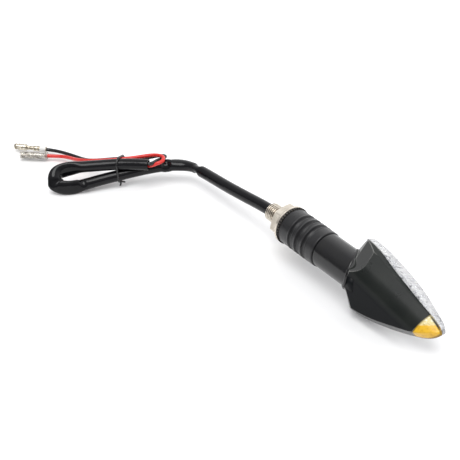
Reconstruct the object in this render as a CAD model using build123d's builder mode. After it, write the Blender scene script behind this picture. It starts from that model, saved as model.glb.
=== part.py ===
"""Motorcycle turn signal indicator: hollow threaded stud, flexible rubber stem, arrow shaped
lamp head with a clear lens, and a two wire harness. Millimetres, +Z up.

Origin: centre of the rubber stem's seat face, on the stud axis. +X runs along the stem towards
the head, +Y is the side the lens faces. The head is drawn upright and then turned ROLL about X,
the way it lies when the lamp is laid down with its lens side leaning towards the floor.
"""
import os
from math import cos, radians, sin, tan

from build123d import *

os.makedirs("parts", exist_ok=True)

# ---- driving dimensions ------------------------------------------------------------------
ROLL = -25.0            # head turned about the stem axis, degrees

STUD_R = 5.0            # M10 stud, plain at its major radius
STUD_BORE_R = 3.45
STUD_LENGTH = 18.0      # outboard of the seat face
FLANGE_AF = 13.6        # hexagon moulded into the rubber
FLANGE_START = 1.6
FLANGE_THICK = 3.0
NUT_AF = 17.0
NUT_THICK = 6.4
NUT_BORE_R = 5.04
NUT_COLLAR_R = 10.5
WASHER_R = 10.0
WASHER_TOOTH_R = 10.6
WASHER_BORE_R = 5.1
WASHER_THICK = 1.4
WASHER_TEETH = 40
SEAT_GAP = 0.2          # between the rubber seat and the loose washer

BOOT_R = 10.0
BOOT_LENGTH = 26.3
BOOT_BORE_R = 4.9
GROOVES = (8.6, 13.8, 19.0)
GROOVE_W = 1.8
GROOVE_D = 1.4

STALK_R = 9.5
STALK_END = 56.0
STALK_BORE_R = 4.0
SPIGOT_R = 7.0
SPIGOT_START = 20.8
STALK_SCREW_Z = 6.8

BACK_DEPTH = 11.0       # depth of the sketch that sets the slope of the sides
CREST_START = (57.0, 11.65, 4.6)    # the two back faces meet along a line: along, depth, up
CREST_END = (96.3, 6.55, -2.9)
CREST_R = 12.0          # rounding of that crest
UPPER_SLOPE = 36.9      # fall of the back face above the crest, degrees
LOWER_SLOPE = 19.8
CHAMFER_AT = (52.0, 8.9, 4.6)       # facet between the stalk and the upper back face
CHAMFER_FACING = (-0.22, 1.0, 0.593)
WALL = 2.0
BOSS_R = 11.2
BOSS_END = 58.5
LIP = 1.3               # bead around the stalk where it enters the housing
LENS_DEPTH = 7.4
LENS_DOME_R = 200.0
LENS_WALL = 1.8
TIP_CUT = 98.4          # the amber window starts here
TIP_CUT_SLANT = 12.0
GASKET_INSET = 0.6
GASKET_W = 0.8
GASKET_H = 0.6

BOARD_BACK = -2.6       # along Y
BOARD_THICK = 1.2
REFLECTOR_BACK = 0.8
REFLECTOR_FRONT = 4.2
LED_R = 2.3
LED_HEIGHT = 4.6
LEDS = ((65.8, -8.2), (65.8, -1.0), (65.8, 6.2), (72.8, -7.4), (72.8, -0.8), (72.8, 5.8),
        (80.2, -5.8), (80.2, 1.6), (87.2, -4.8), (87.2, 1.8), (93.8, -1.4))
BOARD_SCREWS = ((69.1, 2.6), (84.0, -1.4))

SLEEVE_R = 3.25
SLEEVE_BORE_R = 2.65
WIRE_R = 1.05
WIRE_SHIFT = Vector(-0.72, 0.3, -1.16)   # the red wire runs this far off the sleeve axis


def turned(part):
    """A head piece turned from upright to the way it lies."""
    return Rot(ROLL, 0, 0) * part


def save(part, node):
    part.label = node
    export_step(part, f"parts/{node}.step")


def rod(radius, start, end, y=0.0, z=0.0):
    """Cylinder along X between two stations."""
    with BuildPart() as piece:
        with BuildSketch(Plane.YZ.offset(start)):
            with Locations((y, z)):
                Circle(radius)
        extrude(amount=end - start)
    return piece.part


def head_plane(depth):
    """Sketch plane of the head, x along the stem and y upwards, this far behind the rim."""
    return Plane.XZ.offset(depth)


# ---- outlines of the head, upright, (along the stem, up), each run clockwise --------------
RIM_TOP = ((48.8, 17.9), (57.6, 16.7), (66.3, 13.9), (83.1, 8.9), (99.9, 4.6), (107.6, 2.0),
           (110.0, -0.4))
RIM_BOTTOM = ((110.0, -0.4), (105.6, -5.0), (97.0, -9.0), (87.6, -12.1), (75.3, -15.3),
              (62.0, -17.6), (54.5, -17.8))
RIM_INNER = ((54.5, -17.8), (46.4, -10.0), (45.4, 10.2), (48.8, 17.9))
BACK_TOP = ((56.5, 12.5), (66.0, 11.2), (76.5, 8.2), (87.0, 4.2), (93.0, 1.8), (95.3, -0.5))
BACK_BOTTOM = ((95.3, -0.5), (92.4, -4.6), (84.8, -6.6), (73.9, -9.2), (67.1, -11.0), (63.9, -12.1))
BACK_INNER = ((63.9, -12.1), (53.6, -4.8), (53.6, 3.3), (56.5, 12.5))
LENS_TOP = ((48.2, 18.0), (56.5, 17.1), (67.4, 14.8), (78.0, 12.2), (87.7, 9.4), (100.8, 4.6),
            (106.6, 1.9), (108.6, -0.4))
LENS_BOTTOM = ((108.6, -0.4), (104.6, -4.9), (97.0, -8.6), (87.6, -11.8), (75.3, -15.0),
               (62.0, -17.3), (54.0, -17.5))
LENS_INNER = ((54.0, -17.5), (46.4, -10.0), (45.4, 10.2), (48.2, 18.0))
BOARD_EDGE = ((63.4, 9.1), (66.4, 8.7), (80.0, 5.0), (95.2, 0.2), (96.2, -3.0), (88.0, -7.0),
              (75.0, -9.9), (63.4, -11.3), (63.4, 9.1))


RIM = (RIM_TOP, RIM_BOTTOM, RIM_INNER)
BACK = (BACK_TOP, BACK_BOTTOM, BACK_INNER)
LENS = (LENS_TOP, LENS_BOTTOM, LENS_INNER)


def drawn_in(outline, inset):
    """The three runs of an outline, each corner moved inwards square to both its sides."""
    ring = [Vector(*point) for run in outline for point in run[:-1]]
    moved = []
    for index, corner in enumerate(ring):
        arriving = (corner - ring[index - 1]).normalized()
        leaving = (ring[(index + 1) % len(ring)] - corner).normalized()
        inwards = Vector(arriving.Y + leaving.Y, -arriving.X - leaving.X)
        moved.append(corner + inwards * (inset / (1 + arriving.dot(leaving))))
    runs = []
    for run in outline:
        runs.append(moved[: len(run) - 1])
        moved = moved[len(run) - 1 :]
    return [run + [after[0]] for run, after in zip(runs, runs[1:] + runs[:1])]


def outline_sketch(plane, outline, inset=0.0):
    """Closed head outline: splines along the top and the bottom, straight lines inboard."""
    top, bottom, inner = drawn_in(outline, inset)
    with BuildSketch(plane) as face:
        with BuildLine():
            Spline(*top)
            Spline(*bottom)
            Polyline(*inner)
        make_face()
    return face.sketch


def head_slab(outline, back, front, inset=0.0):
    """Plate across the head between two stations along Y."""
    with BuildPart() as slab:
        extrude(outline_sketch(head_plane(-back), outline, inset), amount=back - front)
    return slab.part


def roof(inset):
    """Everything in front of the two back faces, with their rounded crest."""
    start = Vector(CREST_START[0], -CREST_START[1], CREST_START[2])
    run = (Vector(CREST_END[0], -CREST_END[1], CREST_END[2]) - start).normalized()
    outwards = Vector(0, -1, 0)
    up = outwards.cross(run).normalized()
    rise, drop = 40 * tan(radians(UPPER_SLOPE)), 60 * tan(radians(LOWER_SLOPE))
    apex = start - outwards * inset * 0.8
    with BuildPart() as block:
        with BuildSketch(Plane(origin=apex, x_dir=up, z_dir=run).offset(-60)) as profile:
            with BuildLine():
                Polyline((0, 0), (40, -rise), (40, -60), (-60, -60), (-60, -drop), close=True)
            make_face()
            fillet(profile.vertices().sort_by_distance(apex - run * 60)[0], CREST_R - inset)
        extrude(amount=150)
    return block.part


def head_block(inset):
    """Body of the head between the rim and the back faces, drawn in by inset."""
    facing = Vector(CHAMFER_FACING[0], -CHAMFER_FACING[1], CHAMFER_FACING[2]).normalized()
    corner = Vector(CHAMFER_AT[0], -CHAMFER_AT[1], CHAMFER_AT[2]) - facing * inset
    with BuildPart() as block:
        loft(
            [
                outline_sketch(head_plane(0), RIM, inset),
                outline_sketch(head_plane(BACK_DEPTH), BACK, inset),
            ],
            ruled=True,
        )
        add(roof(inset), mode=Mode.INTERSECT)
        split(bisect_by=Plane(origin=corner, z_dir=facing), keep=Keep.BOTTOM)
    return block.part


outer_block = head_block(0)
cavity_block = head_block(WALL)

# ---- threaded stud, moulded into the inner end of the stem -------------------------------
with BuildPart() as stud:
    add(rod(STUD_R, -STUD_LENGTH, FLANGE_START))
    chamfer(stud.faces().sort_by(Axis.X)[0].edges(), 0.7)
    with BuildSketch(Plane.YZ.offset(FLANGE_START)):
        RegularPolygon(FLANGE_AF / 2, 6, major_radius=False)
    extrude(amount=FLANGE_THICK)
    add(rod(STUD_BORE_R, -STUD_LENGTH, FLANGE_START + FLANGE_THICK), mode=Mode.SUBTRACT)
save(stud.part, "threaded_stud")

# ---- toothed lock washer -----------------------------------------------------------------
with BuildPart() as washer:
    with BuildSketch(Plane.YZ.offset(-SEAT_GAP - WASHER_THICK)):
        Circle(WASHER_R)
    extrude(amount=WASHER_THICK)
    with BuildSketch(Plane.YZ.offset(-SEAT_GAP - 0.9)):
        with PolarLocations(WASHER_R, WASHER_TEETH):
            Rectangle(2 * (WASHER_TOOTH_R - WASHER_R), 0.75)
    extrude(amount=0.9)
    add(rod(WASHER_BORE_R, -5, 0), mode=Mode.SUBTRACT)
save(washer.part, "lock_washer")

# ---- hexagon nut with a collar against the washer ----------------------------------------
nut_seat = -SEAT_GAP - WASHER_THICK - 0.02
with BuildPart() as nut:
    with BuildSketch(Plane.YZ.offset(nut_seat - NUT_THICK)):
        RegularPolygon(NUT_AF / 2, 6, major_radius=False, rotation=8)
    extrude(amount=NUT_THICK)
    with BuildSketch(Plane.XY):
        with BuildLine():
            Polyline(
                (nut_seat - NUT_THICK, 0),
                (nut_seat - NUT_THICK, NUT_AF / 2 - 0.4),
                (nut_seat - NUT_THICK + 0.8, NUT_AF / 2 + 1.2),
                (nut_seat - 1.6, NUT_AF / 2 + 1.2),
                (nut_seat - 1.0, NUT_AF / 2 + 0.1),
                (nut_seat, NUT_AF / 2 + 0.1),
                (nut_seat, 0),
                close=True,
            )
        make_face()
    revolve(axis=Axis.X, mode=Mode.INTERSECT)
    with BuildPart(mode=Mode.PRIVATE) as collar:
        add(rod(NUT_COLLAR_R, nut_seat - 1.2, nut_seat))
        chamfer(collar.edges(), 0.3)
    add(collar.part)
    add(rod(NUT_BORE_R, nut_seat - NUT_THICK, nut_seat), mode=Mode.SUBTRACT)
save(nut.part, "hex_nut")

# ---- flexible rubber stem ----------------------------------------------------------------
with BuildPart() as boot:
    add(rod(BOOT_R, 0, BOOT_LENGTH))
    fillet(boot.edges().filter_by(GeomType.CIRCLE), 0.5)
    for station in GROOVES:
        with BuildSketch(Plane.XY):
            with Locations((station, BOOT_R)):
                Ellipse(GROOVE_W / 2, GROOVE_D)
        revolve(axis=Axis.X, mode=Mode.SUBTRACT)
    add(rod(STUD_R + 0.03, -0.1, FLANGE_START), mode=Mode.SUBTRACT)
    with BuildSketch(Plane.YZ.offset(FLANGE_START)):
        RegularPolygon(FLANGE_AF / 2 + 0.03, 6, major_radius=False)
    extrude(amount=FLANGE_THICK, mode=Mode.SUBTRACT)
    add(rod(BOOT_BORE_R, FLANGE_START, BOOT_LENGTH), mode=Mode.SUBTRACT)
    add(rod(SPIGOT_R + 0.03, SPIGOT_START, BOOT_LENGTH + 0.1), mode=Mode.SUBTRACT)
save(boot.part, "flex_boot")

# ---- smooth stalk between the rubber and the head ----------------------------------------
with BuildPart() as stalk:
    add(rod(STALK_R, BOOT_LENGTH + 0.02, STALK_END))
    add(rod(SPIGOT_R, SPIGOT_START + 0.02, BOOT_LENGTH + 0.1))
    add(rod(STALK_BORE_R, SPIGOT_START, STALK_END), mode=Mode.SUBTRACT)
    for side in (-1, 1):
        add(rod(1.05, 48, STALK_END, z=side * STALK_SCREW_Z), mode=Mode.SUBTRACT)
save(turned(stalk.part), "stalk")

# ---- back housing and the amber window that closes its tip --------------------------------
with BuildPart() as boss:
    add(rod(BOSS_R, 46.2, BOSS_END))
    with BuildPart(mode=Mode.PRIVATE) as front_half:
        with Locations((52, 8, 0)):
            Box(30, 16, 30)
    with BuildPart(mode=Mode.PRIVATE) as allowed:
        add(outer_block)
        add(front_half.part)
    add(allowed.part, mode=Mode.INTERSECT)

with BuildPart() as lip:
    add(outer_block.moved(Location((-LIP, 0, 0))))
    add(rod(STALK_R + 1.0, 40, 58), mode=Mode.INTERSECT)

gasket_track = head_slab(RIM, -GASKET_H, 0, GASKET_INSET) - head_slab(
    RIM, -GASKET_H - 1, 1, GASKET_INSET + GASKET_W
)
gasket_track = gasket_track - rod(BOSS_R + 0.5, 40, BOSS_END)

post_top = BACK_DEPTH + BOARD_BACK
with BuildPart() as back_shell:
    add(outer_block)
    add(cavity_block, mode=Mode.SUBTRACT)
    with BuildSketch(head_plane(-BOARD_BACK)):
        for x, z in BOARD_SCREWS:
            with Locations((x, z)):
                Circle(2.4)
    extrude(amount=post_top)
    add(outer_block, mode=Mode.INTERSECT)
    add(boss.part)
    add(lip.part)
    add(rod(STALK_R + 0.03, 40, STALK_END + 0.05), mode=Mode.SUBTRACT)
    add(rod(4.5, STALK_END, BOSS_END + 1), mode=Mode.SUBTRACT)
    for side in (-1, 1):
        add(rod(1.45, STALK_END, BOSS_END + 1, z=side * STALK_SCREW_Z), mode=Mode.SUBTRACT)
    with BuildSketch(head_plane(-BOARD_BACK)):
        for x, z in BOARD_SCREWS:
            with Locations((x, z)):
                Circle(0.9)
    extrude(amount=3.4, mode=Mode.SUBTRACT)
    add(gasket_track, mode=Mode.SUBTRACT)

slant = radians(TIP_CUT_SLANT)
with BuildPart() as tip_side:
    with BuildSketch(
        Plane(origin=(TIP_CUT, 0, 0), x_dir=(0, 1, 0), z_dir=(cos(slant), 0, -sin(slant)))
    ):
        Rectangle(60, 60)
    extrude(amount=40)

with BuildPart() as housing:
    add(back_shell.part)
    add(tip_side.part, mode=Mode.SUBTRACT)
save(turned(housing.part), "housing")

with BuildPart() as amber_window:
    add(back_shell.part)
    add(tip_side.part, mode=Mode.INTERSECT)
save(turned(amber_window.part), "amber_window")

save(turned(gasket_track), "lens_gasket")

# ---- clear lens over the whole front, cut away around the boss ----------------------------
def dome(radius):
    """Ball whose front is the shallow dome of the lens or a surface inside it."""
    return Pos(72, LENS_DEPTH - LENS_DOME_R, 0) * Sphere(radius, mode=Mode.PRIVATE)


with BuildPart() as lens:
    add(head_slab(LENS, 0, LENS_DEPTH))
    add(dome(LENS_DOME_R), mode=Mode.INTERSECT)
    add(
        head_slab(LENS, -1, LENS_DEPTH, LENS_WALL) & dome(LENS_DOME_R - LENS_WALL),
        mode=Mode.SUBTRACT,
    )
    add(rod(BOSS_R + 0.08, 40, BOSS_END + 0.08), mode=Mode.SUBTRACT)
save(turned(lens.part), "clear_lens")

# ---- lamp board with its components -------------------------------------------------------
board_front = BOARD_BACK + BOARD_THICK
with BuildPart() as board:
    with BuildSketch(head_plane(-BOARD_BACK)):
        with BuildLine():
            Polyline(*BOARD_EDGE)
        make_face()
    extrude(amount=-BOARD_THICK)
    with BuildSketch(head_plane(-BOARD_BACK)):
        for x, z in BOARD_SCREWS:
            with Locations((x, z)):
                Circle(1.1)
    extrude(amount=-BOARD_THICK, mode=Mode.SUBTRACT)
save(turned(board.part), "led_board")

with BuildPart() as leds:
    with BuildSketch(head_plane(-board_front)):
        for x, z in LEDS:
            with Locations((x, z)):
                Circle(LED_R)
    extrude(amount=-(LED_HEIGHT - LED_R))
    with Locations([(x, board_front + LED_HEIGHT - LED_R, z) for x, z in LEDS]):
        Sphere(LED_R)
save(turned(leds.part), "leds")

with BuildPart() as resistors:
    with Locations([(x, BOARD_BACK - 0.45, z) for x, z in ((76, -4), (76, -1.5), (76, 1), (76, 3.5))]):
        Box(3.2, 0.9, 1.6)
save(turned(resistors.part), "resistors")

with BuildPart() as diode:
    with Locations((67.2, BOARD_BACK - 0.5, -6.9)):
        Box(4.0, 1.0, 2.2)
save(turned(diode.part), "diode")

with BuildPart() as board_screws:
    with BuildSketch(head_plane(-board_front)):
        for x, z in BOARD_SCREWS:
            with Locations((x, z)):
                Circle(0.85)
    extrude(amount=4.0)
    with BuildSketch(head_plane(-board_front)):
        for x, z in BOARD_SCREWS:
            with Locations((x, z)):
                Circle(1.7)
    extrude(amount=-0.9)
save(turned(board_screws.part), "board_screws")

# ---- bright reflector with a cup around every light ---------------------------------------
with BuildPart() as reflector:
    add(head_slab(LENS, REFLECTOR_BACK, REFLECTOR_FRONT, LENS_WALL + 0.4))
    add(dome(LENS_DOME_R - LENS_WALL - 0.3), mode=Mode.INTERSECT)
    for x, z in LEDS:
        with Locations(Plane((x, REFLECTOR_BACK, z), x_dir=(1, 0, 0), z_dir=(0, 1, 0))):
            Cone(
                2.45,
                3.35,
                REFLECTOR_FRONT - REFLECTOR_BACK + 0.01,
                align=(Align.CENTER, Align.CENTER, Align.MIN),
                mode=Mode.SUBTRACT,
            )
    add(rod(BOSS_R + 0.5, 40, BOSS_END + 3.3), mode=Mode.SUBTRACT)
save(turned(reflector.part), "reflector")

# ---- screws that hold the stalk, and the grommet that closes its bore ---------------------
with BuildPart() as stalk_screws:
    for side in (-1, 1):
        add(rod(1.0, 49, BOSS_END, z=side * STALK_SCREW_Z))
        add(rod(2.2, BOSS_END, BOSS_END + 1.4, z=side * STALK_SCREW_Z))
save(turned(stalk_screws.part), "stalk_screws")

with BuildPart() as grommet:
    add(rod(4.45, STALK_END + 0.1, BOSS_END))
    for side in (-1, 1):
        add(
            rod(WIRE_R + 0.03, 50, 60, y=side * WIRE_SHIFT.Y, z=side * WIRE_SHIFT.Z),
            mode=Mode.SUBTRACT,
        )
save(grommet.part, "wire_grommet")

# ---- harness: sleeve out of the stud, folded back on itself and tied ----------------------
SLEEVE_RUN = ((-14, 0, 0), (-36, 0, -2.2), (-60, -0.3, -5), (-82, -0.2, -7.4), (-91, -2.2, -7.9),
              (-97.4, -9.5, -7.8), (-102.4, -17.6, -8.6), (-111.8, -35.3, -11.8),
              (-118.6, -52, -14.4), (-123.3, -65, -14.7), (-125.8, -67.7, -13.7),
              (-128.7, -68.2, -11.2), (-130.4, -65.8, -8.7), (-129.7, -62, -7.6),
              (-120.6, -45.8, -6.1), (-111.6, -34.4, -4.8), (-99.8, -23.4, -3.4))
SLEEVE_OUT = (0.72, 0.69, 0.06)
RED_RUN = ((-100.4, -16.4, -3.8), (-101.8, -12, -3.7), (-105.1, -11.4, -4.2), (-107.5, -17.2, -3.8),
           (-115.7, -32.3, -4.3), (-125.7, -42.9, -6.2), (-141.4, -47, -11.7))
BLACK_RUN = ((-99, -16.2, -1.9), (-100.2, -10.6, -1.8), (-107.2, -10, -3.9), (-110, -16, -4.8),
             (-117.5, -31, -5.2), (-128, -41.4, -7.7), (-143, -43, -13))
RED_END = Vector(-162.2, -56.8, -15.85)     # mouth of the terminal on the red wire
RED_AXIS = Vector(-0.66, -0.7513, 0)
RED_STRAIGHT = 9.5
BLACK_END = Vector(-168.9, -53.1, -16)
BLACK_AXIS = Vector(-0.75, -0.6614, 0)
BLACK_STRAIGHT = 3.5
INSULATOR_R = 2.1
TIE_R = 0.55


def head_point(x, y, z):
    """Place of a point of the upright head once the head is turned."""
    roll = radians(ROLL)
    return (x, y * cos(roll) - z * sin(roll), y * sin(roll) + z * cos(roll))


def tube(path, radius, bore=0.0):
    """Round rod or hose swept along a path."""
    with BuildPart() as piece:
        with BuildSketch(Plane(origin=path @ 0, z_dir=path % 0)):
            Circle(radius)
            if bore:
                Circle(bore, mode=Mode.SUBTRACT)
        sweep(path=path)
    return piece.part


with BuildLine() as sleeve_path:
    Line((3.5, 0, 0), SLEEVE_RUN[0])
    Spline(*SLEEVE_RUN, tangents=((-1, 0, 0), SLEEVE_OUT), tangent_scalars=(1, 1))
with BuildPart() as sleeve:
    add(tube(sleeve_path.wire(), SLEEVE_R))
    add(tube(sleeve_path.wire(), SLEEVE_BORE_R), mode=Mode.SUBTRACT)
save(sleeve.part, "cable_sleeve")


def wire_path(shift, board_z, outside, end, axis, straight):
    """From the back of the board, through stalk and sleeve, to the terminal."""
    with BuildLine() as run:
        leave = Vector(58.9, 0, 0) + shift
        Spline(
            head_point(65.4, BOARD_BACK - 0.02, board_z),
            head_point(64.1, BOARD_BACK - 1.35, board_z),
            head_point(62.2, BOARD_BACK - 0.7, board_z * 0.8),
            leave,
            tangents=(head_point(0, -1, 0), (-1, 0, 0)),
            tangent_scalars=(1, 1),
        )
        inner = [Vector(*p) + shift for p in SLEEVE_RUN]
        Line(leave, inner[0])
        Spline(*inner, tangents=((-1, 0, 0), SLEEVE_OUT), tangent_scalars=(1, 1))
        rest = end - axis * straight
        Spline(inner[-1], *outside, rest, tangents=(SLEEVE_OUT, axis), tangent_scalars=(1, 1))
        Line(rest, end + axis * 2)
    return run.wire()


red_path = wire_path(WIRE_SHIFT, -4.0, RED_RUN, RED_END, RED_AXIS, RED_STRAIGHT)
black_path = wire_path(
    -WIRE_SHIFT, 2.4, BLACK_RUN, BLACK_END, BLACK_AXIS, BLACK_STRAIGHT
)
with BuildPart() as red_wire:
    add(tube(red_path, WIRE_R))
save(red_wire.part, "red_wire")
with BuildPart() as black_wire:
    add(tube(black_path, WIRE_R))
save(black_wire.part, "black_wire")

# ---- twist tie around both strands of the sleeve and the wires -----------------------------
TIE_LOOP = ((0, -7.6), (3.7, -5.4), (4.2, 0), (3.7, 5.4), (0, 7.6), (-4.8, 5.4), (-9.0, 0.8),
            (-9.8, -3.6), (-6.8, -6.6))
tie_plane = Plane(origin=(-110.4, -33, -8.2), x_dir=(0.78, -0.626, 0), z_dir=(0.626, 0.78, 0.0))
with BuildLine(tie_plane) as tie_loop:
    Spline(*TIE_LOOP, periodic=True)
with BuildLine(tie_plane) as tie_tails:
    Spline((2.4, 6.5, 0), (3.6, 7.9, 1.0), (4.0, 8.7, 3.2))
    Spline((2.4, 6.5, 0), (4.2, 7.2, 0.9), (6.0, 7.6, 2.9))
with BuildPart() as tie:
    add(tube(tie_loop.wire(), TIE_R))
    for tail in tie_tails.edges():
        add(tube(Wire([tail]), TIE_R))
save(tie.part, "twist_tie")


# ---- bullet terminals ----------------------------------------------------------------------
def turned_pin(profile, origin, axis):
    """Turned piece from (station along its axis, radius) pairs."""
    with BuildPart() as piece:
        with BuildSketch(Plane(origin=origin, x_dir=axis, z_dir=(0, 0, 1))):
            with BuildLine():
                Polyline(*profile, close=True)
            make_face()
        revolve(axis=Axis(origin, axis))
    return piece.part


bore = WIRE_R + 0.03
save(
    turned_pin(
        ((-2.6, bore), (-2.6, 1.6), (5.0, 1.6), (5.6, 1.25), (9.4, 1.25), (9.8, 1.9), (14.6, 1.9),
         (15.0, 1.5), (15.6, 1.5), (16.2, 1.9), (17.2, 1.5), (17.5, 0.0), (2.1, 0.0), (2.1, bore)),
        BLACK_END,
        BLACK_AXIS,
    ),
    "male_terminal",
)
save(
    turned_pin(((-2.2, 1.63), (-2.2, 2.0), (1.2, 2.0), (1.2, 1.63)), BLACK_END, BLACK_AXIS),
    "terminal_collar",
)
save(
    turned_pin(
        ((-1.6, bore), (-1.6, 1.5), (4.2, 1.5), (4.8, 1.8), (12.6, 1.8), (12.6, 1.5), (5.6, 1.5),
         (5.0, 0.0), (2.1, 0.0), (2.1, bore)),
        RED_END,
        RED_AXIS,
    ),
    "female_terminal",
)
save(
    turned_pin(((-3.0, 1.85), (-3.0, INSULATOR_R), (13.3, INSULATOR_R), (13.3, 1.85)), RED_END, RED_AXIS),
    "terminal_insulator",
)
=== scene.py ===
"""Looks of the motorcycle turn signal: detailed surfaces, materials, table, light and camera.

Lengths are written in millimetres and turned into the row frame's metres by MM. The stem axis is
X, the rubber's seat face is x = 0, and the head lies turned by ROLL about that axis."""

from math import cos, exp, pi, radians, sin

import bpy
import numpy as np
from mathutils import Matrix, Vector
from mathutils.bvhtree import BVHTree


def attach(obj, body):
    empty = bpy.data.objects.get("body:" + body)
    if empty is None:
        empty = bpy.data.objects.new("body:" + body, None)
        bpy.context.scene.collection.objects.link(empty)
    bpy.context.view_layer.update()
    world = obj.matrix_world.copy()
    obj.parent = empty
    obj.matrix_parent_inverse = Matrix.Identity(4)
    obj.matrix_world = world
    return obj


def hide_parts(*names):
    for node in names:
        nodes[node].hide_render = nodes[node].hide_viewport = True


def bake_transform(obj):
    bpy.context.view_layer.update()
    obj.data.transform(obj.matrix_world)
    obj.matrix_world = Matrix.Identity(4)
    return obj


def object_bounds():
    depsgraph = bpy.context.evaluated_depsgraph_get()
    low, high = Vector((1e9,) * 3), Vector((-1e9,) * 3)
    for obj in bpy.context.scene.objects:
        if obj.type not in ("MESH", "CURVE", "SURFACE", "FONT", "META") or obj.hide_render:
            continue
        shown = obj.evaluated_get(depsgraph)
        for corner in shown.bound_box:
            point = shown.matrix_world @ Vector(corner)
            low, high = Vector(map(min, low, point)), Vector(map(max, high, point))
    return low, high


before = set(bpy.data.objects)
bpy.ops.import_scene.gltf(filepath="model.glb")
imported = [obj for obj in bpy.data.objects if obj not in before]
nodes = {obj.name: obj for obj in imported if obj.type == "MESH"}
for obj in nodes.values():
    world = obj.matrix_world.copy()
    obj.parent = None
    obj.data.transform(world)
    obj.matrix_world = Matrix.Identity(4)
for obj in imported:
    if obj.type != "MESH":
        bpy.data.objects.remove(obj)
frame_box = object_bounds()
scene = bpy.context.scene
MM = 0.001
ROLL = -25.0            # head turned about the stem axis, degrees
UP = (0, -sin(radians(ROLL)), cos(radians(ROLL)))       # upwards in the upright head
DOWN = tuple(-part for part in UP)
SIDE = (0, cos(radians(ROLL)), sin(radians(ROLL)))      # the side the lens faces


# ---- meshes -------------------------------------------------------------------------------
def mesh_object(name, points, faces):
    """Smooth shaded object from points in millimetres."""
    mesh = bpy.data.meshes.new(name)
    mesh.from_pydata([tuple(p) for p in np.asarray(points, float) * MM], [], faces)
    mesh.validate()
    mesh.polygons.foreach_set("use_smooth", [True] * len(mesh.polygons))
    made = bpy.data.objects.new(name, mesh)
    scene.collection.objects.link(made)
    return made


def skin(name, rings, loop=False):
    """Surface over rings of points: capped at both ends, or joined end to end."""
    rings = np.asarray(rings, float)
    count, around = rings.shape[:2]
    faces = []
    for i in range(count if loop else count - 1):
        a, b = i * around, (i + 1) % count * around
        for k in range(around):
            n = (k + 1) % around
            faces.append((a + k, a + n, b + n, b + k))
    if not loop:
        faces.append(tuple(reversed(range(around))))
        faces.append(tuple(range((count - 1) * around, count * around)))
    return mesh_object(name, rings.reshape(-1, 3), faces)


def across(axis):
    """Two directions square to an axis and to each other."""
    axis = Vector(axis).normalized()
    helper = Vector((0, 0, 1)) if abs(axis.z) < 0.9 else Vector((0, 1, 0))
    first = axis.cross(helper).normalized()
    return np.array(first), np.array(axis.cross(first))


def turned(profile, around, shape=None):
    """Rings of a piece turned about the stem axis, from (station, radius) pairs."""
    first, second = across((1, 0, 0))
    angles = np.arange(around) * 2 * pi / around
    spokes = np.outer(np.cos(angles), first) + np.outer(np.sin(angles), second)
    rings = []
    for station, radius in profile:
        radii = np.full(around, float(radius))
        if shape:
            radii = shape(station, radii, angles)
        rings.append(np.array((station, 0, 0)) + spokes * radii[:, None])
    return np.array(rings)


def smooth_run(points, leave, arrive, spacing=0.5):
    """Evenly spaced points on the smooth curve through points, with both end directions."""
    p = np.array(points, float)
    h = np.linalg.norm(np.diff(p, axis=0), axis=1)
    t = np.concatenate(([0], np.cumsum(h)))
    leave, arrive = (np.array(Vector(d).normalized()) for d in (leave, arrive))
    slope = np.diff(p, axis=0) / h[:, None]
    size = len(p)
    a, b = np.zeros((size, size)), np.zeros((size, 3))
    a[0, :2] = 2 * h[0], h[0]
    b[0] = 6 * (slope[0] - leave)
    a[-1, -2:] = h[-1], 2 * h[-1]
    b[-1] = 6 * (arrive - slope[-1])
    for i in range(1, size - 1):
        a[i, i - 1 : i + 2] = h[i - 1], 2 * (h[i - 1] + h[i]), h[i]
        b[i] = 6 * (slope[i] - slope[i - 1])
    bend = np.linalg.solve(a, b)
    at = np.linspace(0, t[-1], max(8, int(t[-1] / spacing)))
    k = np.clip(np.searchsorted(t, at, side="right") - 1, 0, size - 2)
    u, v, w = (t[k + 1] - at)[:, None], (at - t[k])[:, None], h[k][:, None]
    return (
        bend[k] * u**3 / (6 * w)
        + bend[k + 1] * v**3 / (6 * w)
        + (p[k] / w - bend[k] * w / 6) * u
        + (p[k + 1] / w - bend[k + 1] * w / 6) * v
    )


def straight(start, end, spacing=0.5):
    """Evenly spaced points on a straight line."""
    start, end = np.array(start, float), np.array(end, float)
    steps = max(3, int(np.linalg.norm(end - start) / spacing))
    return start + np.linspace(0, 1, steps)[:, None] * (end - start)


def hose_rings(centres, radius, around=48):
    """Rings round a centre line, carried along it without twisting."""
    centres = np.asarray(centres, float)
    heading = np.gradient(centres, axis=0)
    heading /= np.linalg.norm(heading, axis=1)[:, None]
    first, _ = across(heading[0])
    angles = np.arange(around) * 2 * pi / around
    rings = []
    for centre, ahead in zip(centres, heading):
        first = first - ahead * (first @ ahead)
        first /= np.linalg.norm(first)
        second = np.cross(ahead, first)
        rings.append(
            centre + radius * (np.outer(np.cos(angles), first) + np.outer(np.sin(angles), second))
        )
    return np.array(rings)


def closed_hose(name, line, radius, around):
    """Hose along a closed centre line."""
    wrapped = np.concatenate([line[-1:], line, line[:1]])
    return skin(name, hose_rings(wrapped, radius, around)[1:-1], loop=True)


def joined(*runs):
    """One centre line from several, without the doubled joints."""
    return np.concatenate([runs[0]] + [run[1:] for run in runs[1:]])


def smoothed(line, passes):
    """Closed line with every point drawn towards its neighbours."""
    for _ in range(passes):
        line = (np.roll(line, 1, 0) + 2 * line + np.roll(line, -1, 0)) / 4
    return line


def lying(x, y, z):
    """Point of the upright head, turned to the way it lies."""
    roll = radians(ROLL)
    return (x, y * cos(roll) - z * sin(roll), y * sin(roll) + z * cos(roll))


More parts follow.
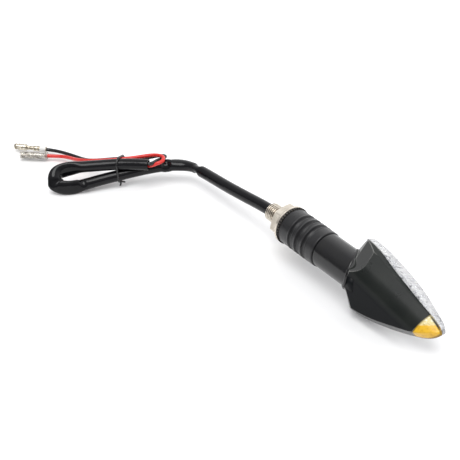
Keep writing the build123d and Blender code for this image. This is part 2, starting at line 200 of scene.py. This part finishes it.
# ---- tools for materials ------------------------------------------------------------------
class Finish:
    """Small helper around one node material."""

    def __init__(self, name):
        self.material = bpy.data.materials.new(name)
        self.material.use_nodes = True
        self.tree = self.material.node_tree
        self.surface = self.tree.nodes["Principled BSDF"]
        self.place = self.node("ShaderNodeTexCoord").outputs["Object"]

    def node(self, kind, **settings):
        """New shader node with some of its settings changed."""
        made = self.tree.nodes.new(kind)
        for key, value in settings.items():
            setattr(made, key, value)
        return made

    def link(self, source, target):
        self.tree.links.new(source, target)

    def set(self, **values):
        """Sets or links inputs of the surface shader."""
        for key, value in values.items():
            socket = self.surface.inputs[key.replace("_", " ")]
            if hasattr(value, "is_output"):
                self.link(value, socket)
            else:
                socket.default_value = value

    def noise(self, scale, detail=4.0):
        """Cloudy values around one half, finer with a higher scale."""
        made = self.node("ShaderNodeTexNoise")
        made.inputs["Scale"].default_value = scale
        made.inputs["Detail"].default_value = detail
        made.inputs["Roughness"].default_value = 0.55
        self.link(self.place, made.inputs["Vector"])
        return made.outputs["Fac"]

    def remap(self, value, low, high, to_low, to_high):
        """Value between low and high moved to the range between to_low and to_high."""
        made = self.node("ShaderNodeMapRange")
        self.link(value, made.inputs["Value"])
        made.inputs["From Min"].default_value = low
        made.inputs["From Max"].default_value = high
        made.inputs["To Min"].default_value = to_low
        made.inputs["To Max"].default_value = to_high
        return made.outputs["Result"]

    def mix(self, share, first, second):
        """Colour between two, by a share from 0 to 1."""
        made = self.node("ShaderNodeMix", data_type="RGBA")
        sockets = made.inputs[0], made.inputs[6], made.inputs[7]
        for socket, value in zip(sockets, (share, first, second)):
            if hasattr(value, "is_output"):
                self.link(value, socket)
            elif isinstance(value, (int, float)):
                socket.default_value = value
            else:
                socket.default_value = (*value, 1.0)
        return made.outputs[2]

    def math(self, operation, first, second):
        """One operation on two values, each a number or a node's output."""
        made = self.node("ShaderNodeMath", operation=operation)
        for socket, value in zip(made.inputs, (first, second)):
            if hasattr(value, "is_output"):
                self.link(value, socket)
            else:
                socket.default_value = value
        return made.outputs[0]

    def weighted(self, start, *terms):
        """A start value plus each of the values times its factor."""
        total = start
        for value, factor in terms:
            total = self.math("ADD", total, self.math("MULTIPLY", value, factor))
        return total

    def bump(self, height, strength, distance=0.0002, base=None):
        """Normal with a relief added, distance in metres."""
        made = self.node("ShaderNodeBump")
        made.inputs["Strength"].default_value = strength
        made.inputs["Distance"].default_value = distance
        self.link(height, made.inputs["Height"])
        if base is not None:
            self.link(base, made.inputs["Normal"])
        return made.outputs["Normal"]

    def along(self, direction):
        """Distance from the origin along a direction, in millimetres."""
        made = self.node("ShaderNodeVectorMath", operation="DOT_PRODUCT")
        made.inputs[1].default_value = Vector(direction) / MM
        self.link(self.place, made.inputs[0])
        return made.outputs["Value"]

    def from_axis(self):
        """Distance from the stem axis, in millimetres."""
        square = self.node("ShaderNodeVectorMath", operation="MULTIPLY")
        square.inputs[1].default_value = (0, 1 / MM, 1 / MM)
        self.link(self.place, square.inputs[0])
        made = self.node("ShaderNodeVectorMath", operation="LENGTH")
        self.link(square.outputs["Vector"], made.inputs[0])
        return made.outputs["Value"]

    def facing(self, direction, low, high):
        """0 to 1 as the surface turns towards a direction."""
        made = self.node("ShaderNodeVectorMath", operation="DOT_PRODUCT")
        made.inputs[1].default_value = direction
        self.link(self.node("ShaderNodeNewGeometry").outputs["Normal"], made.inputs[0])
        return self.remap(made.outputs["Value"], low, high, 0.0, 1.0)

    def near_edge(self, softened):
        """0 on a flat face to 1 where a softened normal leaves the true one, at an edge."""
        made = self.node("ShaderNodeVectorMath", operation="DOT_PRODUCT")
        self.link(softened, made.inputs[0])
        self.link(self.node("ShaderNodeNewGeometry").outputs["True Normal"], made.inputs[1])
        return self.remap(made.outputs["Value"], 0.965, 0.998, 1.0, 0.0)

    def rounded(self, radius):
        """Normal with the edges softened, radius in metres."""
        made = self.node("ShaderNodeBevel", samples=6)
        made.inputs["Radius"].default_value = radius
        return made.outputs["Normal"]


def worn(name, base, other, roughness, spread=0.08, metallic=0.0, patch=180.0, grain=2600.0,
         relief=0.12, round_edges=0.0, specular=0.5):
    """Surface with patchy colour, uneven sheen, fine grain and softened edges."""
    f = Finish(name)
    patches = f.noise(patch)
    fine = f.noise(grain, detail=6.0)
    colour = f.mix(f.remap(patches, 0.35, 0.68, 0.0, 1.0), base, other)
    speck = tuple(min(1, part * 1.6 + 0.02) for part in base)
    colour = f.mix(f.remap(fine, 0.62, 0.8, 0.0, 0.35), colour, speck)
    sheen = f.remap(f.noise(patch * 2.3), 0.3, 0.7, roughness - spread, roughness + spread)
    normal = f.bump(fine, relief, base=f.rounded(round_edges) if round_edges else None)
    f.set(Base_Color=colour, Roughness=sheen, Metallic=metallic, Normal=normal)
    f.set(Specular_IOR_Level=specular)
    return f


def paint(target, finish):
    """Gives a piece its finish, as its only material."""
    target.data.materials.clear()
    target.data.materials.append(finish.material)


def repaint(node, finish):
    """Gives a CAD node its finish."""
    target = nodes[node]
    for slot in target.material_slots:
        slot.material = finish.material
    if not target.material_slots:
        target.data.materials.append(finish.material)


# ---- metals, rubber and plastics ----------------------------------------------------------
nickel = worn("nickel", (0.76, 0.70, 0.61), (0.58, 0.53, 0.45), 0.30, metallic=1.0,
              round_edges=0.00025)

# painted shade in the thread valleys and painted highlight on the crests
thread_metal = worn("thread_metal", (0.62, 0.58, 0.51), (0.46, 0.42, 0.36), 0.26, metallic=1.0)
crest = thread_metal.remap(thread_metal.from_axis(), 4.45, 4.85, 0.0, 1.0)
thread_metal.set(Base_Color=thread_metal.mix(crest, (0.10, 0.07, 0.05), (0.74, 0.69, 0.60)))

# dull plate, with painted shade making the teeth at the rim near-black and dull
washer_metal = Finish("washer_metal")
shaded_teeth = washer_metal.remap(washer_metal.from_axis(), 9.9, 10.05, 0.0, 1.0)
tarnish = washer_metal.remap(washer_metal.noise(900), 0.4, 0.65, 0.0, 1.0)
plate = washer_metal.mix(tarnish, (0.40, 0.37, 0.33), (0.22, 0.20, 0.18))
washer_metal.set(
    Base_Color=washer_metal.mix(shaded_teeth, plate, (0.012, 0.011, 0.010)),
    Metallic=washer_metal.remap(shaded_teeth, 0.0, 1.0, 1.0, 0.2),
    Roughness=washer_metal.remap(washer_metal.noise(400), 0.3, 0.7, 0.3, 0.5),
)

rubber = worn("rubber", (0.012, 0.012, 0.013), (0.008, 0.008, 0.009), 0.34, relief=0.25,
              grain=3800)
nylon = worn("nylon", (0.006, 0.006, 0.006), (0.004, 0.004, 0.005), 0.20, spread=0.04,
             relief=0.05)
vinyl = worn("vinyl", (0.003, 0.003, 0.004), (0.005, 0.005, 0.006), 0.13, relief=0.5,
             grain=260, specular=0.25)
red_vinyl = worn("red_vinyl", (0.58, 0.018, 0.014), (0.66, 0.03, 0.022), 0.32, relief=0.08)
black_vinyl = worn("black_vinyl", (0.006, 0.006, 0.007), (0.010, 0.010, 0.011), 0.25, relief=0.08)
tie_vinyl = worn("tie_vinyl", (0.006, 0.006, 0.007), (0.010, 0.010, 0.010), 0.2, relief=0.3)
brass = worn("brass", (0.82, 0.77, 0.66), (0.22, 0.18, 0.12), 0.25, metallic=1.0, patch=700,
             relief=0.5, round_edges=0.0001)
white_plastic = worn("white_plastic", (0.75, 0.75, 0.73), (0.66, 0.66, 0.64), 0.4)
board_finish = worn("board_finish", (0.70, 0.72, 0.70), (0.62, 0.66, 0.62), 0.45)
chip = worn("chip", (0.03, 0.03, 0.035), (0.05, 0.05, 0.05), 0.5, round_edges=0.0001)
zinc = worn("zinc", (0.62, 0.62, 0.60), (0.5, 0.5, 0.48), 0.35, metallic=1.0, round_edges=0.0001)
mirror = worn("mirror", (0.82, 0.82, 0.82), (0.74, 0.74, 0.74), 0.16, metallic=1.0, relief=0.05)
seal = worn("seal", (0.03, 0.03, 0.03), (0.04, 0.04, 0.04), 0.6)
amber_light = worn("amber_light", (0.85, 0.62, 0.14), (0.75, 0.5, 0.1), 0.2)

# ---- housing: each face by the way it looks, with painted shade below and painted highlights ---
shell = Finish("shell")
fine = shell.noise(3000, detail=6.0)
patches = shell.noise(90)
upper = shell.facing(UP, 0.25, 0.6)
under = shell.facing(DOWN, 0.05, 0.3)
strip = shell.facing(DOWN, 0.5, 0.75)
inboard = shell.facing((-1, 0, 0), 0.04, 0.14)
soft_edge = shell.rounded(0.0006)
# painted highlight: a light line along the softened edges near the stalk and low down
near_stalk = shell.remap(shell.along((1, 0, 0)), 57.5, 60.5, 1.0, 0.0)
low_down = shell.remap(shell.along(UP), -5.0, -3.0, 0.6, 0.0)
highlight_here = shell.math("MAXIMUM", near_stalk, low_down)
ridge_highlight = shell.math("MULTIPLY", shell.near_edge(soft_edge), highlight_here)
cloudy = shell.remap(patches, 0.35, 0.7, 0, 1)
tone = shell.mix(cloudy, (0.008, 0.010, 0.009), (0.013, 0.015, 0.013))
# painted shade: darker colour on the faces turned down
tone = shell.mix(under, tone, (0.006, 0.007, 0.008))
# painted reflection: lighter colour on the facets turned inboard, towards the stalk
tone = shell.mix(shell.math("MULTIPLY", inboard, 0.7), tone, (0.052, 0.053, 0.052))
shell.set(
    Base_Color=shell.mix(ridge_highlight, tone, (0.24, 0.24, 0.23)),
    Roughness=shell.remap(patches, 0.3, 0.7, 0.27, 0.33),
    Specular_IOR_Level=shell.weighted(
        0.20, (upper, 0.02), (under, -0.12), (strip, 1.0), (inboard, 0.35)),
    Normal=shell.bump(fine, 0.10, base=soft_edge),
)

# the housing's colour for faces turned down, painted shade included, without the painted
# highlight line
plain_shell = worn("plain_shell", (0.006, 0.007, 0.008), (0.006, 0.007, 0.008), 0.30,
                   spread=0.03, relief=0.1, specular=0.10)

# ---- amber window: pale above, deep below, dark at its cut and its rim --------------------
amber = Finish("amber")
lower = amber.remap(amber.along((-0.56, *UP[1:])), -57.2, -56.4, 1.0, 0.0)
milky = amber.remap(amber.noise(700, detail=3.0), 0.50, 0.60, 0.0, 1.0)
specks = amber.remap(amber.noise(1500, detail=2.0), 0.60, 0.68, 0.0, 0.8)
depth = amber.remap(amber.noise(600), 0.45, 0.65, 0.0, 0.8)
pale = amber.mix(milky, (0.72, 0.60, 0.26), (0.92, 0.88, 0.66))
pale = amber.mix(specks, pale, (0.30, 0.20, 0.03))
deep = amber.mix(depth, (0.80, 0.47, 0.020), (0.62, 0.32, 0.010))
body = amber.mix(lower, pale, deep)
slant = radians(12)
cut = amber.along((cos(slant), -sin(slant) * UP[1], -sin(slant) * UP[2]))
body = amber.mix(amber.remap(cut, 96.4, 97.2, 0.85, 0.0), body, (0.07, 0.05, 0.012))
rim = amber.along(SIDE)
body = amber.mix(amber.remap(rim, -1.0, -0.5, 0.0, 0.7), body, (0.10, 0.07, 0.015))
amber.set(
    Base_Color=body,
    Roughness=amber.remap(amber.noise(300), 0.3, 0.7, 0.14, 0.26),
    Transmission_Weight=0.1,
    IOR=1.5,
    Normal=amber.bump(amber.noise(900), 0.15, base=amber.rounded(0.0006)),
)

# ---- lens: prisms, and painted dark reflections round its edge, clearer from the front ----
clear = Finish("clear")
prism = clear.node("ShaderNodeTexWave", wave_type="BANDS", bands_direction="X")
prism.inputs["Scale"].default_value = 190
prism.inputs["Distortion"].default_value = 1.2
clear.link(clear.place, prism.inputs["Vector"])
haze = clear.noise(420, detail=5.0)
tint = clear.mix(clear.remap(haze, 0.42, 0.68, 0, 1), (1.0, 1.0, 1.0), (0.70, 0.71, 0.74))
# painted reflection: dark blotches on the walls that do not face the front
dark_reflection = clear.remap(clear.noise(330, detail=3.0), 0.57, 0.68, 0.0, 0.8)
front = clear.facing(SIDE, 0.45, 0.8)
dark_reflection = clear.math("MULTIPLY", dark_reflection, clear.math("SUBTRACT", 1.0, front))
tint = clear.mix(dark_reflection, tint, (0.16, 0.16, 0.18))
clear.set(
    Base_Color=tint,
    Roughness=clear.remap(haze, 0.3, 0.7, 0.10, 0.3),
    Transmission_Weight=clear.remap(front, 0.0, 1.0, 0.55, 0.9),
    IOR=1.5,
    Normal=clear.bump(prism.outputs["Fac"], 0.5, 0.0005, base=clear.rounded(0.0007)),
)

# ---- soft insulator with the terminal showing through -------------------------------------
sheath = Finish("sheath")
cloud = sheath.noise(600)
crimped = sheath.remap(cloud, 0.42, 0.62, 0, 1)
sheath.set(
    Base_Color=sheath.mix(crimped, (0.95, 0.94, 0.92), (0.46, 0.42, 0.36)),
    Roughness=sheath.remap(cloud, 0.3, 0.7, 0.08, 0.25),
    Transmission_Weight=0.8,
    IOR=1.45,
    Normal=sheath.bump(cloud, 0.5, 0.0004),
)

for node, finish in {
    "lock_washer": washer_metal, "hex_nut": nickel, "housing": shell, "amber_window": amber,
    "lens_gasket": seal, "clear_lens": clear, "led_board": board_finish, "leds": amber_light,
    "resistors": chip, "diode": chip, "board_screws": zinc, "reflector": mirror,
    "stalk_screws": zinc, "wire_grommet": seal, "twist_tie": tie_vinyl, "male_terminal": brass,
    "terminal_collar": white_plastic, "female_terminal": brass, "terminal_insulator": sheath,
    "threaded_stud": thread_metal, "flex_boot": rubber, "stalk": nylon, "cable_sleeve": vinyl,
    "red_wire": red_vinyl, "black_wire": black_vinyl,
}.items():
    repaint(node, finish)

# ---- threaded stud ------------------------------------------------------------------------
PITCH = 1.25
STUD_R = 4.99
STUD_BORE_R = 3.45
STUD_END = -18.0
STUD_STEP = 0.1
FLANGE_R = 6.78         # half across the flats of the hexagon inside the rubber


def threaded(station, radii, angles):
    """Right hand thread, flat on its crests, that runs out at both ends."""
    phase = (station / PITCH - angles / (2 * pi)) % 1.0
    valley = np.clip(1.15 - 2.6 * np.abs(phase - 0.5), 0.0, 1.0)
    fade = np.clip(-0.1 - station, 0, 1)
    return np.minimum(radii, STUD_R - 0.70 * valley * fade)


def flange(station, radii, angles):
    """Hexagon over the flange's length, thread elsewhere."""
    if 1.55 < station < 4.55:
        sector = (angles + pi / 6) % (pi / 3) - pi / 6
        return np.minimum(FLANGE_R / np.cos(sector), 7.7)
    return threaded(station, radii, angles)


outside = [(STUD_END, 4.25)]
for step in range(1, 181):
    outside.append((STUD_END + STUD_STEP * step, min(STUD_R, 4.4 + STUD_STEP * step)))
outside += [(1.5, STUD_R), (1.6, FLANGE_R), (4.5, FLANGE_R), (4.6, STUD_BORE_R)]
bore = [(4.5, STUD_BORE_R), (STUD_END + 0.4, STUD_BORE_R), (STUD_END + 0.05, 3.75)]
stud = skin("stud", turned(outside + bore, 144, shape=flange), loop=True)
paint(stud, thread_metal)
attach(stud, "mount")
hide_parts("threaded_stud")

# ---- rubber stem, in two halves ------------------------------------------------------------
BOOT_R = 10.0
BOOT_END = 26.3
BOOT_MIDDLE = 13.5
STEM_END = 26.0         # the wires' stem pieces end here
GROOVES = (8.6, 13.8, 19.0)
GROOVE_HALF_W = 1.2
GROOVE_D = 1.4
EDGE_R = 0.6
BOOT_BORE_R = 4.95
SOCKET_R = 7.05         # where the stalk's spigot sits in the rubber


def boot_radius(station):
    """Plain bands with three grooves between slightly raised edges, and rounded ends."""
    radius = BOOT_R
    for groove in GROOVES:
        away = abs(station - groove) / GROOVE_HALF_W
        if away < 1:
            radius = min(radius, BOOT_R - GROOVE_D * (1 - away**2) ** 0.8)
        radius += 0.16 * exp(-((away - 1.25) / 0.28) ** 2)
    edge = min(station, BOOT_END - station)
    if edge < EDGE_R:
        radius -= EDGE_R - (EDGE_R**2 - (EDGE_R - edge) ** 2) ** 0.5
    return radius


def boot_half(name, start, end, end_bore):
    """One half of the rubber stem."""
    stations = np.linspace(start, end, int((end - start) / 0.12))
    outline = [(station, boot_radius(station)) for station in stations]
    outline += [(end, end_bore), (start, BOOT_BORE_R)]
    half = skin(name, turned(outline, 128), loop=True)
    paint(half, rubber)
    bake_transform(half)
    return half


inner_half = boot_half("stem_rubber_inner", 0.0, BOOT_MIDDLE, BOOT_BORE_R)
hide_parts("flex_boot")
boot_half("stem_rubber_outer", BOOT_MIDDLE, BOOT_END, SOCKET_R)

# ---- stalk ---------------------------------------------------------------------------------
STALK_R = 9.5
STALK_BORE_R = 4.0
STALK_END = 56.0
SPIGOT_START = 20.85
stalk_line = [(SPIGOT_START, STALK_BORE_R), (SPIGOT_START, 6.9), (BOOT_END, 6.95)]
stalk_line += [(26.36, 9.1), (26.7, 9.45)]
stalk_line += [(station, STALK_R) for station in np.linspace(27.2, STALK_END, 30)]
stalk_line += [(STALK_END, STALK_BORE_R)]
stalk = skin("stalk_skin", turned(stalk_line, 128), loop=True)
paint(stalk, nylon)
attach(stalk, "head")
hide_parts("stalk")

# ---- moulded bead where the stalk enters the housing ----------------------------------------
BEAD_POINTS = 240
BEAD_LINE_R = 9.9
BEAD_R = 0.85
BEAD_LIFT = 0.35        # further in than the first contact with the housing
BEAD_OPEN_SIDE = 51.8   # station where the lens leaves no housing to meet
back_faces = BVHTree.FromPolygons(
    [vertex.co.copy() for vertex in nodes["housing"].data.vertices],
    [tuple(face.vertices) for face in nodes["housing"].data.polygons],
)


def entry(angle):
    """Where a line beside the stalk runs into the housing."""
    y, z = BEAD_LINE_R * cos(angle), BEAD_LINE_R * sin(angle)
    hit = back_faces.ray_cast(Vector((38, y, z)) * MM, Vector((1, 0, 0)))[0]
    return (hit.x / MM + BEAD_LIFT if hit else BEAD_OPEN_SIDE, y, z)


bead_angles = np.arange(BEAD_POINTS) * 2 * pi / BEAD_POINTS
bead_line = smoothed(np.array([entry(angle) for angle in bead_angles]), 24)
# a little further in round the lower back, where the entry is deepest
bead_line[:, 0] += 0.5 * np.exp(-((np.degrees(bead_angles) - 168) / 22) ** 2)
bead = closed_hose("bead", bead_line, BEAD_R, 20)
paint(bead, nylon)
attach(bead, "head")

# ---- smooth patch of the lower back face beside the bead ------------------------------------
CREST_START = (57.0, 11.65, 4.6)    # where the two back faces meet: along, depth, up
CREST_DEPTH_FALL = 0.1298           # per millimetre along
CREST_HEIGHT_FALL = 0.1908
LOWER_FALL = 0.36                   # depth lost per millimetre below the crest
PATCH = ((51.4, -7.2), (57.2, -7.2), (57.2, -0.6), (51.4, -0.6))


def back_plate(x, z, lift):
    """Point above the lower back face by lift, turned to the way it lies."""
    along = x - CREST_START[0]
    below = CREST_START[2] - CREST_HEIGHT_FALL * along - z
    depth = CREST_START[1] - CREST_DEPTH_FALL * along - LOWER_FALL * below + lift
    return lying(x, -depth, z)


cover = skin("cover", [[back_plate(x, z, lift) for x, z in PATCH] for lift in (0.07, -0.4)])
paint(cover, plain_shell)
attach(cover, "head")

# ---- harness -------------------------------------------------------------------------------
SLEEVE_RUN = ((-14, 0, 0), (-36, 0, -2.2), (-60, -0.3, -5), (-82, -0.2, -7.4), (-91, -2.2, -7.9),
              (-97.4, -9.5, -7.8), (-102.4, -17.6, -8.6), (-111.8, -35.3, -11.8),
              (-118.6, -52, -14.4), (-123.3, -65, -14.7), (-125.8, -67.7, -13.7),
              (-128.7, -68.2, -11.2), (-130.4, -65.8, -8.7), (-129.7, -62, -7.6),
              (-120.6, -45.8, -6.1), (-111.6, -34.4, -4.8), (-99.8, -23.4, -3.4))
SLEEVE_OUT = (0.72, 0.69, 0.06)
RED_RUN = ((-97.4, -19.6, -3.0), (-96.6, -16.4, -2.1), (-98.5, -14.1, -1.8),
           (-102.3, -13.9, -2.2), (-106.6, -16.5, -3.0), (-109.7, -21.3, -3.6),
           (-115.7, -32.3, -4.3), (-125.7, -42.9, -6.2), (-141.4, -47, -11.7))
BLACK_RUN = ((-100.3, -17.3, -3.2), (-100.9, -12.5, -3.6), (-101.9, -10.6, -3.7),
             (-103.9, -11.4, -3.9), (-107.6, -15.9, -4.9), (-110.2, -21.0, -5.0),
             (-117.5, -31, -5.2), (-128, -41.4, -7.7), (-143, -43, -13))
RED_END = Vector((-162.2, -56.8, -15.85))       # mouth of the terminal on the red wire
RED_AXIS = Vector((-0.66, -0.7513, 0))
RED_STRAIGHT = 9.5
BLACK_END = Vector((-168.9, -53.1, -16))
BLACK_AXIS = Vector((-0.75, -0.6614, 0))
BLACK_STRAIGHT = 3.5
SLEEVE_R = 3.25
SLEEVE_BORE_R = 2.65
WIRE_R = 1.05
WIRE_SHIFT = Vector((-0.72, 0.3, -1.16))        # the red wire runs this far off the sleeve axis

# places where the sleeve is pressed: centre, direction, reach, share lost, widening
FLAT_SPOTS = (
    ((-92, -3.5, -7.9), (0.5, 0.65, 0.6), 7.5, 0.42, 0.20),
    ((-84, -0.3, -7.6), (0.1, 0.55, 0.8), 2.2, 0.34, 0.10),
    ((-99, -12, -8.0), (0.6, -0.3, 0.7), 2.4, 0.36, 0.16),
    ((-124, -63, -14.2), (0.9, -0.4, 0.1), 9.0, 0.45, 0.32),
    ((-120, -55.5, -14.6), (0.3, -0.2, 0.9), 1.8, 0.30, 0.12),
    ((-127, -68, -12.7), (0.2, -0.3, 0.9), 1.7, 0.34, 0.16),
    ((-129, -60, -8.0), (0.8, -0.6, 0.1), 7.0, 0.35, 0.22),
)


def nearness(line, centre, reach):
    """1 at points of a line close to a centre, falling to 0 beyond reach."""
    return np.exp(-(np.linalg.norm(line - np.array(centre), axis=1) / reach) ** 4)


def pressed(rings, line):
    """Rings of a hose, flattened at the flat spots."""
    rings = rings.copy()
    for centre, direction, reach, share, widening in FLAT_SPOTS:
        near = nearness(line, centre, reach)[:, None, None]
        normal = np.array(Vector(direction).normalized())
        from_centre = rings - line[:, None, :]
        depth = (from_centre @ normal)[..., None] * normal
        rings = rings - depth * near * share + (from_centre - depth) * near * widening
    return rings


sleeve_curve = smooth_run(SLEEVE_RUN, (-1, 0, 0), SLEEVE_OUT)
sleeve_line = joined(straight((3.5, 0, 0), SLEEVE_RUN[0]), sleeve_curve)
outer = pressed(hose_rings(sleeve_line, SLEEVE_R), sleeve_line)
inner = pressed(hose_rings(sleeve_line, SLEEVE_BORE_R), sleeve_line)
sleeve = skin("sleeve", np.concatenate([outer, inner[::-1]]), loop=True)
paint(sleeve, vinyl)
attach(sleeve, "mount")
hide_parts("cable_sleeve")


def tucked(line, shift):
    """Line of one wire inside the sleeve, drawn in where the sleeve is pressed flat."""
    offset = np.tile(np.array(shift), (len(line), 1))
    for centre, direction, reach, share, _ in FLAT_SPOTS:
        normal = np.array(Vector(direction).normalized())
        drawn_in = nearness(line, centre, reach) * min(1.0, 2.2 * share)
        offset -= np.outer((offset @ normal) * drawn_in, normal)
    return line + offset


def wire(name, node, shift, board_z, outside_run, end, axis, straight_end, finish):
    """One wire in four pieces: harness, two halves in the stem, and the head's end."""
    inside = tucked(sleeve_curve, shift)
    rest = end - axis * straight_end
    harness = joined(
        straight((0, shift.y, shift.z), inside[0]),
        inside,
        smooth_run([inside[-1], *outside_run, rest], SLEEVE_OUT, axis),
        straight(rest, end + axis * 1.9),
    )

    def station(x):
        return (x, shift.y, shift.z)

    to_board = [
        station(58.9),
        lying(62.2, -3.3, board_z * 0.8),
        lying(64.1, -3.95, board_z),
        lying(65.4, -2.62, board_z),
    ]
    tail = joined(
        straight(station(STEM_END), to_board[0]),
        smooth_run(to_board, (1, 0, 0), lying(0, 1, 0), spacing=0.2),
    )

    def piece(part, line):
        made = skin(f"{name}_{part}", hose_rings(line, WIRE_R, around=24))
        paint(made, finish)
        return made

    outside_lamp = piece("harness", harness)
    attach(outside_lamp, "mount")
    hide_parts(node)
    middle = station(BOOT_MIDDLE)
    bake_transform(piece("stem_inner", straight(station(0), middle)))
    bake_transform(piece("stem_outer", straight(middle, station(STEM_END))))
    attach(piece("head", tail), "head")
    return harness


red_line = wire("red", "red_wire", WIRE_SHIFT, -4.0, RED_RUN,
                RED_END, RED_AXIS, RED_STRAIGHT, red_vinyl)
black_line = wire("black", "black_wire", -WIRE_SHIFT, 2.4, BLACK_RUN,
                  BLACK_END, BLACK_AXIS, BLACK_STRAIGHT, black_vinyl)

# ---- twist tie drawn tight round both strands and the wires ---------------------------------
TIE_AT = np.array((-112.4, -34.9, -8.2))
TIE_PLANE = ((0.60, -0.78, 0.18), (-0.18, 0.09, 0.98))
TIE_R = 0.62
TIE_END_R = 0.5
LOW_SIDE = (-0.3755, 0.2837, 0.8824)    # the knot sits where the band is lowest along this
TIE_ENDS = {
    "tie_end_short": ((0.25, 0.35, -1.0), (0.3, 0.0, -2.6)),
    "tie_end_long": ((1.0, 1.0, 0.1), (2.0, 2.1, -0.3)),
}
flat_way, tall_way = (np.array(Vector(d).normalized()) for d in TIE_PLANE)
tie_axis = np.cross(flat_way, tall_way)


def crossings(line, radius):
    """Where a centre line near the tie passes through its plane."""
    side = (line - TIE_AT) @ tie_axis
    found = []
    for i in np.nonzero(side[:-1] * side[1:] < 0)[0]:
        point = line[i] + (line[i + 1] - line[i]) * side[i] / (side[i] - side[i + 1])
        if np.linalg.norm(point - TIE_AT) < 12:
            found.append((point, radius))
    return found


def drawn_tight(members, gap):
    """Closed line in the tie's plane, round all the members as a string would lie."""
    line = []
    for angle in np.linspace(0, 2 * pi, 241)[:-1]:
        outward = flat_way * cos(angle) + tall_way * sin(angle)
        centre, radius = max(members, key=lambda member: member[0] @ outward + member[1])
        line.append(centre + outward * (radius + gap))
    closed = np.array(line + line[:1])
    length = np.concatenate(([0], np.cumsum(np.linalg.norm(np.diff(closed, axis=0), axis=1))))
    even = np.linspace(0, length[-1], 161)[:-1]
    return np.stack([np.interp(even, length, closed[:, i]) for i in range(3)], 1)


bundle = crossings(sleeve_line, SLEEVE_R)
bundle += crossings(red_line, WIRE_R) + crossings(black_line, WIRE_R)
band = smoothed(drawn_tight(bundle, TIE_R), 3)
tie = closed_hose("tie", band, TIE_R, 16)
paint(tie, tie_vinyl)
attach(tie, "mount")
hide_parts("twist_tie")

knot = band[np.argmin(band @ np.array(LOW_SIDE))]
for name, tips in TIE_ENDS.items():
    tail = [knot] + [knot + np.array(tip) for tip in tips]
    tail = smooth_run(tail, tips[0], (0.5, 0.2, -0.8), spacing=0.15)
    tie_end = skin(name, hose_rings(tail, TIE_END_R, around=12))
    paint(tie_end, tie_vinyl)
    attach(tie_end, "mount")

# ---- table --------------------------------------------------------------------------------
TABLE_Z = min(frame_box[0].z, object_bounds()[0].z) / MM
bpy.ops.mesh.primitive_plane_add(size=6, location=(0, 0, TABLE_Z * MM))
table = bpy.context.object
table.name = "table"
white = Finish("white_table")
speckle = white.noise(60)
mottle = white.remap(speckle, 0.3, 0.7, 0, 1)
white.set(
    Base_Color=white.mix(mottle, (0.90, 0.90, 0.90), (0.915, 0.915, 0.915)),
    Roughness=0.65,
    Normal=white.bump(white.noise(900), 0.03),
)
paint(table, white)

# ---- soft room light, brighter overhead and on the far side -------------------------------
world = bpy.data.worlds.new("studio")
world.use_nodes = True
sky = world.node_tree
backdrop = sky.nodes["Background"]
heading = sky.nodes.new("ShaderNodeTexCoord").outputs["Generated"]
split = sky.nodes.new("ShaderNodeSeparateXYZ")
sky.links.new(heading, split.inputs[0])
room = sky.nodes.new("ShaderNodeValToRGB")
stops = room.color_ramp.elements
for height in (0.2, 0.4, 0.6, 0.8):
    stops.new(height)
for stop, level in zip(stops, (0.225, 0.346, 0.490, 0.634, 0.756, 0.842)):
    stop.color = (level, level, level * 1.02, 1)
sky.links.new(split.outputs["Z"], room.inputs[0])
far_side = sky.nodes.new("ShaderNodeMapRange")
far_side.inputs["From Max"].default_value = 0.7
far_side.inputs["To Max"].default_value = 0.9
sky.links.new(split.outputs["Y"], far_side.inputs["Value"])
total = sky.nodes.new("ShaderNodeMix")
total.data_type, total.blend_type = "RGBA", "ADD"
total.inputs[0].default_value = 1.0
sky.links.new(room.outputs[0], total.inputs[6])
sky.links.new(far_side.outputs[0], total.inputs[7])
sky.links.new(total.outputs[2], backdrop.inputs["Color"])
scene.world = world
scene.view_settings.view_transform = "Standard"
scene.view_settings.look = "None"

sun_data = bpy.data.lights.new("key", "SUN")
sun_data.energy = 1.9
sun_data.angle = radians(40)
sun = bpy.data.objects.new("key", sun_data)
sun.rotation_mode = "QUATERNION"
sun.rotation_quaternion = Vector((0.22, -0.32, 1.0)).to_track_quat("Z", "Y")
scene.collection.objects.link(sun)

# ---- camera -------------------------------------------------------------------------------
CAMERA_AT = (423.42, -361.00, 388.80)
camera_data = bpy.data.cameras.new("camera")
camera_data.sensor_width = 36
camera_data.lens = 101.74
camera_data.clip_start, camera_data.clip_end = 0.01, 20
camera = bpy.data.objects.new("camera", camera_data)
azimuth, elevation = radians(52.94), radians(35.15)
back = Vector((sin(azimuth) * cos(elevation), -cos(azimuth) * cos(elevation), sin(elevation)))
right = Vector((cos(azimuth), sin(azimuth), 0))
over = back.cross(right)
turn = Matrix((right, over, back)).transposed().to_4x4()
camera.matrix_world = Matrix.Translation(Vector(CAMERA_AT) * MM) @ turn
scene.collection.objects.link(camera)
scene.camera = camera
